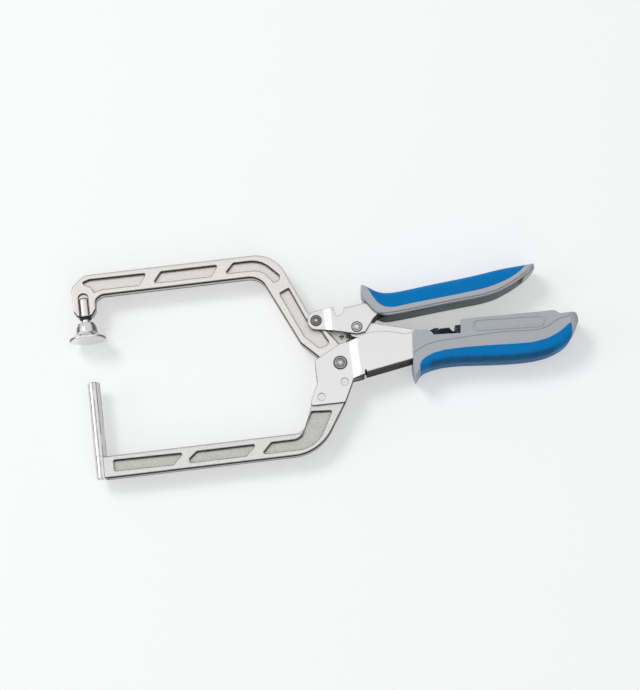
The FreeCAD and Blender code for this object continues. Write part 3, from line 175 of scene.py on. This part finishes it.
# Each Range holds the two values between which a look sets in. Lengths are in millimetres.
castLook = {
    # wall is the dark of the painted shade on steep walls and along edges; skin and floor are the metal's own tones
    "skin": (0.73, 0.72, 0.70, 1.0), "floor": (0.55, 0.54, 0.52, 1.0), "wall": (0.022, 0.021, 0.020, 1.0),
    "shine": 0.33, "floorShine": 0.45, "wallShine": 0.2, "cloudShine": 0.10, "matt": 0.9,
    "wave": 9.0, "cloudShade": 0.93, "speckGrain": 0.62, "speckRange": (0.38, 0.50), "speck": 0.58, "bedSpeck": 0.68,
    "grain": 0.5, "grainHeight": 0.030, "floorGrain": 0.9, "floorHeight": 0.05, "seam": 0.05, "edge": 1.1,
    "flatRange": (0.80, 0.95), "floorRange": (0.3, 0.7), "steepRange": (0.25, 0.65), "seamRange": (0.12, 0.3),
    "strip": 1.9, "stripFade": 0.7, "stripClear": 0.8, "wallCover": 0.84, "wallCloud": 0.2,
    "lineWidth": 0.85, "lineRange": (0.004, 0.04), "line": 0.95, "lowWidth": 1.2, "low": 0.95,
    "bedWidth": 2.6, "bedRange": (0.03, 0.16),
}


# Cast arm: satin nickel. Recess floors are the flat places nearer than floorDepth to the middle plane.
# The steep walls get painted shade, for the dark room they reflect, and are less metallic, but for the ground strip
# along their middle. Painted dark lines follow the edges, and painted shade lies beside the walls that face -Y,
# wider on the recess floors.
def castNickel(name, floorDepth, look):
    finish = Finish(name, {"Metallic": 1.0, "Base Color": look["skin"], "Specular IOR Level": 0.0})
    fromPlane, level = abs(finish.z), abs(finish.facesZ)
    floor = finish.ramp(level, *look["flatRange"])
    floor = floor * (1.0 - finish.ramp(fromPlane, *(floorDepth + step for step in look["floorRange"])))
    cloud = finish.noise(look["wave"], 3.0)
    grain = finish.noise(look["grain"], 3.0)
    pits = finish.noise(look["floorGrain"], 3.0, rough=0.7)
    speck = finish.ramp(finish.noise(look["speckGrain"], rough=0.75), *look["speckRange"])
    skin = finish.mix(cloud, darker(look["skin"], look["cloudShade"]), look["skin"])
    skin = finish.mix(speck, darker(look["skin"], look["speck"]), skin)
    bed = finish.mix(speck, darker(look["floor"], look["bedSpeck"]), look["floor"])
    strip = 1.0 - finish.ramp(fromPlane, look["strip"], look["strip"] + look["stripFade"])
    steep = (1.0 - finish.ramp(level, *look["steepRange"])) * (1.0 - strip * look["stripClear"])
    # painted shade: the steep walls go towards the dark wall colour
    skin = finish.mix(steep * (look["wallCover"] + cloud * look["wallCloud"]), skin, look["wall"])
    # painted shade: dark lines along the edges, beside walls that face -Y, and wider on the floors beside them
    line = finish.edges(look["lineWidth"], *look["lineRange"]) * look["line"]
    line = finish.most(line, finish.lowSide(look["lowWidth"]) * look["low"])
    line = finish.most(line, finish.lowSide(look["bedWidth"], *look["bedRange"]) * floor) * (1.0 - strip)
    finish.drive("Base Color", finish.mix(line, finish.mix(floor, skin, bed), look["wall"]))
    finish.drive("Metallic", 1.0 - steep * look["matt"])
    shine = look["shine"] + (cloud - 0.5) * look["cloudShine"] + floor * (look["floorShine"] - look["shine"])
    finish.drive("Roughness", shine + steep * look["wallShine"])
    seam = steep * (1.0 - finish.ramp(fromPlane, *look["seamRange"]))
    height = grain * look["grainHeight"] + floor * pits * look["floorHeight"] + seam * look["seam"]
    finish.relief(height, look["edge"])
    return finish


sheetLook = {
    # dark is the painted shade of steep faces and of the lines along edges
    "skin": (0.725, 0.715, 0.70, 1.0), "dark": (0.024, 0.024, 0.023, 1.0), "shine": 0.27, "matt": 0.85,
    "wave": 14.0, "cloudShade": 0.95, "cloudShine": 0.12, "grain": 0.35, "stretch": (9.0, 1.0, 1.0),
    "grainShine": 0.02, "grainHeight": 0.0003, "steep": 0.94, "steepRange": (0.10, 0.40), "edge": 0.40,
    "slopeFrom": (0.75, 0.85), "slopeTo": (0.975, 0.995), "slopeShine": 0.12,
    "lineWidth": 0.80, "lineRange": (0.012, 0.042), "line": 1.0, "lowWidth": 1.3, "low": 0.95,
}


# Folded sheet: smooth satin nickel with faint rolling marks and rounded edges, duller on the joggles.
# Its steep faces get painted shade, for the dark room they reflect; painted dark lines follow the edges
# and lie beside the walls that face -Y.
def sheetNickel(name, look):
    finish = Finish(name, {"Metallic": 1.0, "Base Color": look["skin"], "Specular IOR Level": 0.0})
    cloud = finish.noise(look["wave"], 3.0)
    marks = finish.noise(look["grain"], stretch=look["stretch"])
    skin = finish.mix(cloud, darker(look["skin"], look["cloudShade"]), look["skin"])
    steep = (1.0 - finish.ramp(abs(finish.facesZ), *look["steepRange"])) * look["steep"]
    finish.drive("Metallic", 1.0 - steep * look["matt"])
    # painted shade: steep faces go towards the dark colour
    skin = finish.mix(steep, skin, look["dark"])
    # painted shade: dark lines along the edges and beside walls that face -Y
    line = finish.edges(look["lineWidth"], *look["lineRange"]) * look["line"]
    line = finish.most(line, finish.lowSide(look["lowWidth"]) * look["low"])
    finish.drive("Base Color", finish.mix(line, skin, look["dark"]))
    slope = finish.ramp(finish.facesZ, *look["slopeFrom"]) * (1.0 - finish.ramp(finish.facesZ, *look["slopeTo"]))
    shine = look["shine"] + (cloud - 0.5) * look["cloudShine"] + (marks - 0.5) * look["grainShine"]
    finish.drive("Roughness", shine + slope * look["slopeShine"])
    finish.relief(marks * look["grainHeight"], look["edge"])
    return finish


steelLook = {
    "wave": 5.0, "cloudShade": 0.94, "cloudShine": 0.10, "grain": 0.6, "grainHeight": 0.002, "edge": 0.2,
    # ranges on a rivet's head, as shares of its radius
    "domeSide": (0.06, 0.26), "grooveFrom": (0.44, 0.54), "grooveTo": (0.60, 0.66), "foot": (0.72, 0.84),
    # The dark colours below are painted shade: for a rivet head's rings, a pin's streaks and flanks that face along
    # X.
    "ringShade": (0.035, 0.035, 0.033, 1.0), "ringShadeShare": 0.94,
    "streakShade": (0.08, 0.08, 0.077, 1.0), "markShare": 0.75, "markStep": 2.4, "markRange": (0.05, 0.20),
    "breakGrain": 1.6, "breakStretch": (1.0, 5.0, 1.0), "breakRange": (0.32, 0.50),
    "flank": (0.060, 0.055, 0.045, 1.0), "flankRange": (0.42, 0.72),
}


# Turned steel with faint clouds. Round a rivet's axis, painted shade fills the foot of its ring and the foot of its
# dome, and the dome's side is painted darker than its crown, for the dark rings that a domed head reflects. Streaks
# are painted dark lines along Y, at even steps from the given X, for a round pin's streaked reflections.
# Flanks get painted shade where they face along X.
def turnedSteel(name, colour, shine, look, around=None, head=None, side=0.0, streaks=None, flanks=0.0):
    finish = Finish(name, {"Metallic": 1.0, "Base Color": colour})
    cloud = finish.noise(look["wave"], 3.0)
    skin = finish.mix(cloud, darker(colour, look["cloudShade"]), colour)
    # painted shade: dark rings on a rivet's domed head, as the head reflects
    if around:
        away = finish.distance(*around) * (2.0 / head)
        groove = finish.ramp(away, *look["grooveFrom"]) * (1.0 - finish.ramp(away, *look["grooveTo"]))
        ringShade = finish.most(finish.ramp(away, *look["foot"]), groove) * look["ringShadeShare"]
        ringShade = finish.most(ringShade, finish.ramp(away, *look["domeSide"]) * side)
        skin = finish.mix(ringShade, skin, look["ringShade"])
    # painted reflection: dark streaks along the pin
    if streaks is not None:
        part = finish.fraction((finish.x - streaks) / look["markStep"])
        marks = 1.0 - finish.ramp(abs(part - 0.5), *look["markRange"])
        broken = finish.ramp(finish.noise(look["breakGrain"], stretch=look["breakStretch"]), *look["breakRange"])
        skin = finish.mix(marks * broken * look["markShare"], skin, look["streakShade"])
    # painted shade on the sides that face along X
    if flanks:
        skin = finish.mix(finish.ramp(abs(finish.facesX), *look["flankRange"]) * flanks, skin, look["flank"])
    finish.drive("Roughness", shine + (cloud - 0.5) * look["cloudShine"])
    finish.drive("Base Color", skin)
    finish.relief(finish.noise(look["grain"]) * look["grainHeight"], look["edge"])
    return finish


blackLook = {
    "plain": (0.035, 0.036, 0.040, 1.0), "dark": (0.024, 0.025, 0.028, 1.0), "wearAndGlint": (0.16, 0.16, 0.165, 1.0),
    "wave": 1.3, "wearAndGlintRange": (0.56, 0.68), "cloudShine": 0.2, "grain": 0.35, "grainHeight": 0.012, "edge": 0.25,
}


# Black oxide: dark satin steel with brighter places, which are partly wear and partly painted glints.
def blackOxide(name, shine, look):
    finish = Finish(name, {"Metallic": 0.85, "Base Color": look["plain"]})
    cloud = finish.noise(look["wave"], 4.0)
    # the brighter places are partly wear and partly painted glints
    finish.drive("Base Color", finish.mix(finish.ramp(cloud, *look["wearAndGlintRange"]), look["dark"], look["wearAndGlint"]))
    finish.drive("Roughness", shine + (cloud - 0.5) * look["cloudShine"])
    finish.relief(finish.noise(look["grain"]) * look["grainHeight"], look["edge"])
    return finish


gripLook = {
    "blue": (0.0005, 0.168, 0.46, 1.0), "blueDark": (0.0005, 0.152, 0.42, 1.0), "blueShine": 0.45, "blueGloss": 0.10,
    "grey": (0.40, 0.42, 0.445, 1.0), "greyDark": (0.37, 0.39, 0.415, 1.0), "greyShine": 0.50, "greyGloss": 0.25,
    "wave": 6.0, "cloudShine": 0.10, "grain": 0.30, "grainHeight": 0.010, "edge": 0.3,
    # under is the dark blue of the painted shade on the ribbed underside
    "under": (0.006, 0.085, 0.20, 1.0), "underRange": (-0.60, -0.35), "underShade": 0.90,
    "fade": 0.45, "fadeRange": (-6.0, 8.0), "ribPitch": 12.5, "ribLean": 1.3, "ribDepth": 0.45, "ribShade": 0.25,
    "ribRange": (0.03, 0.09), "ribStart": (240.0, 246.0), "ribEnd": (328.0, 340.0),
    # lipPale is painted light on the lever grip's low walls; lipDark is a painted shadow line along its lip
    "lipPale": (0.86, 0.86, 0.80, 1.0), "lipDark": (0.05, 0.052, 0.050, 1.0), "lipShade": 0.92, "lipWidth": 1.2,
    "lipRange": (0.16, 0.42), "wallRange": (-0.80, -0.50), "wallClear": 0.6, "paleRange": (3.0, 12.0),
}


# Moulded plastic: one colour, blue or grey, with faint clouds and the fine grain of an eroded mould.
# Ribs, when given, return their relief and their painted shade; lip paints light and shade near a grip's open side.
def moulded(name, hue, look, ribs=None, lip=None):
    finish = Finish(name, {
        "Base Color": look[hue], "Metallic": 0.0, "IOR": 1.5, "Specular IOR Level": look[hue + "Gloss"]})
    cloud = finish.noise(look["wave"], 3.0)
    skin = finish.mix(cloud, look[hue + "Dark"], look[hue])
    height = finish.noise(look["grain"], 3.0) * look["grainHeight"]
    if ribs:
        relief, shade = ribs(finish, look)
        height = height + relief
        skin = finish.mix(shade, skin, look["under"])
    if lip:
        skin = lip(finish, skin, look)
    finish.drive("Base Color", skin)
    finish.drive("Roughness", look[hue + "Shine"] + (cloud - 0.5) * look["cloudShine"])
    finish.relief(height, look["edge"])
    return finish


# Chevron ribs on the underside of the soft cover: the lines lie a pitch apart, on x - lean |z|.
def chevronRibs(finish, look):
    part = finish.fraction((finish.x - abs(finish.z) * look["ribLean"]) / look["ribPitch"])
    line = 1.0 - finish.ramp(abs(part - 0.5), *look["ribRange"])
    # painted shade: the underside that faces -Y goes dark over the ribbed length, deeper towards +Z and along the
    # rib lines
    under = 1.0 - finish.ramp(finish.facesY, *look["underRange"])
    ends = finish.ramp(finish.x, *look["ribStart"]) * (1.0 - finish.ramp(finish.x, *look["ribEnd"]))
    shade = look["underShade"] - finish.ramp(0.0 - finish.z, *look["fadeRange"]) * look["fade"]
    return line * under * ends * -look["ribDepth"], under * ends * (shade + line * look["ribShade"])


# The lever grip is open towards -Y: its walls that face -Y get painted light low down,
# and a painted shadow line follows the lip.
def openLip(finish, skin, look):
    wall = 1.0 - finish.ramp(finish.facesY, *look["wallRange"])
    low = wall * (1.0 - finish.ramp(finish.z, *look["paleRange"]))
    skin = finish.mix(low, skin, look["lipPale"])
    line = finish.lowSide(look["lipWidth"], *look["lipRange"]) * (1.0 - wall * look["wallClear"])
    return finish.mix(line * look["lipShade"], skin, look["lipDark"])


# The moving arm has a finer blast and paler recess floors.
movingLook = {
    **castLook, "skin": (0.78, 0.755, 0.725, 1.0), "floor": (0.76, 0.725, 0.69, 1.0),
    "speck": 0.80, "grainHeight": 0.020,
}
rivetSteel = (0.78, 0.775, 0.76, 1.0)
padSteel = (0.78, 0.775, 0.765, 1.0)
pegSteel = (0.70, 0.69, 0.68, 1.0)
flushSteel = (0.69, 0.68, 0.665, 1.0)
springSteel = (0.26, 0.25, 0.235, 1.0)

paint(castNickel("cast_nickel_fixed", 2.7, castLook), "fixed_arm")
paint(castNickel("cast_nickel_moving", 2.5, movingLook), "moving_arm")
paint(sheetNickel("sheet_nickel", sheetLook), "body_shell", "lever_channel", "toggle_link")
paint(turnedSteel("peg_steel", pegSteel, 0.28, steelLook, streaks=-1.6), "peg")
paint(turnedSteel("rivet_steel_main", rivetSteel, 0.20, steelLook, (179.1, 44.3), 10.3, side=0.62), "main_rivet")
paint(turnedSteel("rivet_steel_lever", rivetSteel, 0.20, steelLook, (165.4, 77.3), 8.5, side=0.80), "lever_rivet")
paint(turnedSteel("rivet_steel_link", rivetSteel, 0.20, steelLook, (194.1, 68.6), 8.2, side=0.35), "link_rivet")
paint(turnedSteel("flush_steel", flushSteel, 0.28, steelLook), "arm_rivets", "link_pin")
paint(turnedSteel("pad_steel", padSteel, 0.13, steelLook, flanks=0.85), "swivel_pad")
paint(turnedSteel("stud_steel", padSteel, 0.20, steelLook, flanks=0.85), "pad_stud")
paint(turnedSteel("spring_steel", springSteel, 0.30, steelLook), "screw_spring", "return_spring")
paint(blackOxide("black_oxide", 0.38, blackLook),
      "slide_block", "rack_plate", "thumb_screw", "screw_bracket", "end_nut")
paint(blackOxide("black_ring", 0.5, blackLook), "stud_ring")
paint(moulded("grip_grey", "grey", gripLook), "lower_grip")
paint(moulded("grip_grey_lever", "grey", gripLook, lip=openLip), "lever_grip")
paint(moulded("grip_blue", "blue", gripLook), "lever_grip_cover")
paint(moulded("grip_blue_ribbed", "blue", gripLook, ribs=chevronRibs), "lower_grip_cover")
print("stage: finishes are on")


springWind = {
    "lug": (182.6, 64.0), "tab": (226.0, 48.0), "wire": 1.2, "radius": 3.1, "turns": 22, "steps": 26, "sides": 10,
    # the loops' radius, the angle left open on each side in radians, their steps, and how far the coil overlaps them
    "loop": 2.6, "open": 0.12, "loopSteps": 40, "overlap": 0.4,
}


# A round wire along a path: each path point gets a ring of sides points, r (cos a) across + r (sin a) over,
# where across is the unit vector away from the given reference and over is square to it and to the path.
def wireGrid(path, reference, radius, sides):
    along = np.gradient(path, axis=0)
    along /= np.linalg.norm(along, axis=1, keepdims=True)
    across = np.cross(along, reference)
    across /= np.linalg.norm(across, axis=1, keepdims=True)
    over = np.cross(along, across)
    angle = np.linspace(0, 2 * np.pi, sides, endpoint=False)
    ring = np.cos(angle)[None, :, None] * across[:, None, :] + np.sin(angle)[None, :, None] * over[:, None, :]
    return path[:, None, :] + radius * ring


# Joins grids of rings into one mesh. Quads join each ring to the next; a fan closes both ends of an open wire.
def ringMesh(name, grids):
    points, faces, shift = [], [], 0
    for grid in grids:
        rows, sides = grid.shape[:2]
        index = np.arange(rows * sides).reshape(rows, sides) + shift
        turned = np.roll(index, -1, axis=1)
        quads = np.stack([index[:-1], index[1:], turned[1:], turned[:-1]], axis=-1).reshape(-1, 4)
        points.append(grid.reshape(-1, 3))
        faces += quads.tolist() + [index[0].tolist(), index[-1, ::-1].tolist()]
        shift += rows * sides
    mesh = bpy.data.meshes.new(name)
    mesh.from_pydata(np.concatenate(points).tolist(), [], faces)
    mesh.validate()
    mesh.polygons.foreach_set("use_smooth", [True] * len(mesh.polygons))
    made = bpy.data.objects.new(name, mesh)
    bpy.context.scene.collection.objects.link(made)
    return made


# The coil is a helix round the line from lug to tab; a loop at each end is a circle in a plane that holds the line.
def windReturnSpring(look):
    lug, tab = np.array(look["lug"] + (0.0,)), np.array(look["tab"] + (0.0,))
    span = np.linalg.norm(tab - lug)
    line = (tab - lug) / span
    side = np.array([-line[1], line[0], 0.0])
    up = np.array([0.0, 0.0, 1.0])
    wire, coil, loop = look["wire"] / 2, look["radius"] - look["wire"] / 2, look["loop"]
    start = 2 * loop - wire * look["overlap"]
    end = span - start
    steps = look["turns"] * look["steps"]
    angle = np.linspace(0, 2 * np.pi * look["turns"], steps)[:, None]
    path = lug + line * np.linspace(start, end, steps)[:, None] + coil * (np.cos(angle) * side + np.sin(angle) * up)
    grids = [wireGrid(path, line, wire, look["sides"])]
    for centre, turn in ((lug + line * loop, 0.0), (tab - line * loop, np.pi)):
        bend = turn + np.linspace(look["open"], 2 * np.pi - look["open"], look["loopSteps"])[:, None]
        circle = centre + loop * (np.cos(bend) * line + np.sin(bend) * side)
        grids.append(wireGrid(circle, up, wire, look["sides"]))
    for grid in grids:
        grid *= mm
    made = ringMesh("return_spring_wire", grids)
    made.data.materials.append(nodes["return_spring"].data.materials[0])
    return made, lug * mm, tab * mm


springPiece, springStart, springEnd = windReturnSpring(springWind)
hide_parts("return_spring")
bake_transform(springPiece)
print("stage: return spring is wound")


setLook = {
    "aim": (0.166, 0.060, 0.0), "half": 4.0, "under": 0.0002, "floor": (0.92, 0.93, 0.93, 1.0), "floorShine": 0.9,
    "back": (0.945, 0.945, 0.945, 1.0), "share": 0.44,
    "room": (0.96, 0.98, 1.0, 1.0), "world": 0.36, "wallSeen": 0.90, "wallGloss": 0.85,
    "lamps": [
        # place over the object in metres, size in metres, power in watts, colour, seen in gloss
        ((0.00, -0.35, 2.00), (2.2, 2.2), 5.0, (1.0, 1.0, 1.0), True),
        ((0.00, -0.35, 2.01), (2.2, 2.2), 4.6, (1.0, 1.0, 1.0), False),
        ((-1.80, 1.90, 3.20), (1.5, 1.3), 10.0, (1.0, 1.0, 0.99), True),
        ((-1.81, 1.91, 3.22), (1.5, 1.3), 76.0, (1.0, 1.0, 0.99), False),
        ((-1.90, 0.15, 1.00), (1.3, 0.9), 8.0, (1.0, 1.0, 1.0), True),
        ((0.60, -1.70, 1.40), (1.8, 0.6), 4.0, (1.0, 1.0, 1.0), True),
    ],
}


# Two wires: 1 for rays from the camera, and 1 for rays in gloss or transmission.
def rayKinds(tree):
    kinds = ("Is Camera Ray", "Is Glossy Ray", "Is Transmission Ray")
    seen, gloss, through = (Wire(tree).node("ShaderNodeLightPath", output=kind) for kind in kinds)
    return seen, gloss + through


# The floor takes the object's shadow; rays from the camera and in gloss see it partly as an even pale light.
def layFloor(look, height):
    mesh = bpy.data.meshes.new("floor")
    half = look["half"]
    corners = [(-half, -half, height), (half, -half, height), (half, half, height), (-half, half, height)]
    mesh.from_pydata(corners, [], [(0, 1, 2, 3)])
    floor = bpy.data.objects.new("floor", mesh)
    bpy.context.scene.collection.objects.link(floor)
    material = bpy.data.materials.new("floor_paper")
    material.use_nodes = True
    tree = material.node_tree
    shader = tree.nodes["Principled BSDF"]
    shader.inputs["Base Color"].default_value = look["floor"]
    shader.inputs["Roughness"].default_value = look["floorShine"]
    seen, gloss = rayKinds(tree)
    glow = seen.node("ShaderNodeEmission", inputs={"Color": look["back"], "Strength": 1.0})
    both = seen.node("ShaderNodeMixShader", inputs={
        0: (seen + gloss) * look["share"], 1: Wire(tree, shader.outputs[0]), 2: glow})
    tree.links.new(both.socket, tree.nodes["Material Output"].inputs["Surface"])
    mesh.materials.append(material)


# The room lights the object evenly; the camera and gloss see its walls paler.
def lightWorld(look):
    world = bpy.data.worlds.new("studio")
    bpy.context.scene.world = world
    world.use_nodes = True
    background = world.node_tree.nodes["Background"]
    background.inputs["Color"].default_value = look["room"]
    seen, gloss = rayKinds(world.node_tree)
    paler = seen * (look["wallSeen"] - look["world"]) + gloss * (look["wallGloss"] - look["world"])
    world.node_tree.links.new((look["world"] + paler).socket, background.inputs["Strength"])


def hangLamps(look, aim):
    for number, (place, size, power, colour, glossy) in enumerate(look["lamps"]):
        lamp = bpy.data.lights.new(f"softbox_{number}", "AREA")
        lamp.shape = "RECTANGLE"
        lamp.size, lamp.size_y = size
        lamp.energy = power
        lamp.color = colour
        box = bpy.data.objects.new(f"softbox_{number}", lamp)
        box.location = aim + Vector(place)
        box.rotation_euler = (-Vector(place)).to_track_quat("-Z", "Y").to_euler()
        box.visible_glossy = glossy
        bpy.context.scene.collection.objects.link(box)


# aim and distance are in millimetres, lean and roll in degrees; pixels is the picture's longer side.
cameraLook = {
    "aim": (166.26, 60.46, 0.0), "distance": 1500.0, "lean": 12.0, "roll": 6.9,
    "pixelsPerMm": 1.375, "pixels": 690.0, "sensor": 36.0, "farthest": 20.0,
}


# The camera stands on a line that leans back from straight above; its roll turns the object in the frame.
def standCamera(look):
    lean, roll = math.radians(look["lean"]), math.radians(look["roll"])
    right = Vector((math.cos(roll), -math.sin(roll), 0.0))
    level = Vector((math.sin(roll), math.cos(roll), 0.0))
    up = level * math.cos(lean) + Vector((0, 0, 1)) * math.sin(lean)
    back = Vector((0, 0, 1)) * math.cos(lean) - level * math.sin(lean)
    data = bpy.data.cameras.new("camera")
    data.sensor_width = look["sensor"]
    data.lens = look["sensor"] * look["pixelsPerMm"] * look["distance"] / look["pixels"]
    data.clip_end = look["farthest"]
    camera = bpy.data.objects.new("camera", data)
    place = (Vector(look["aim"]) + back * look["distance"]) * mm
    camera.matrix_world = Matrix.Translation(place) @ Matrix((right, up, back)).transposed().to_4x4()
    bpy.context.scene.collection.objects.link(camera)
    bpy.context.scene.camera = camera


bpy.context.scene.view_settings.view_transform = "Standard"
layFloor(setLook, solidBox[0][2] - setLook["under"])
lightWorld(setLook)
hangLamps(setLook, Vector(setLook["aim"]))
standCamera(cameraLook)
print("stage: floor, light and camera stand")
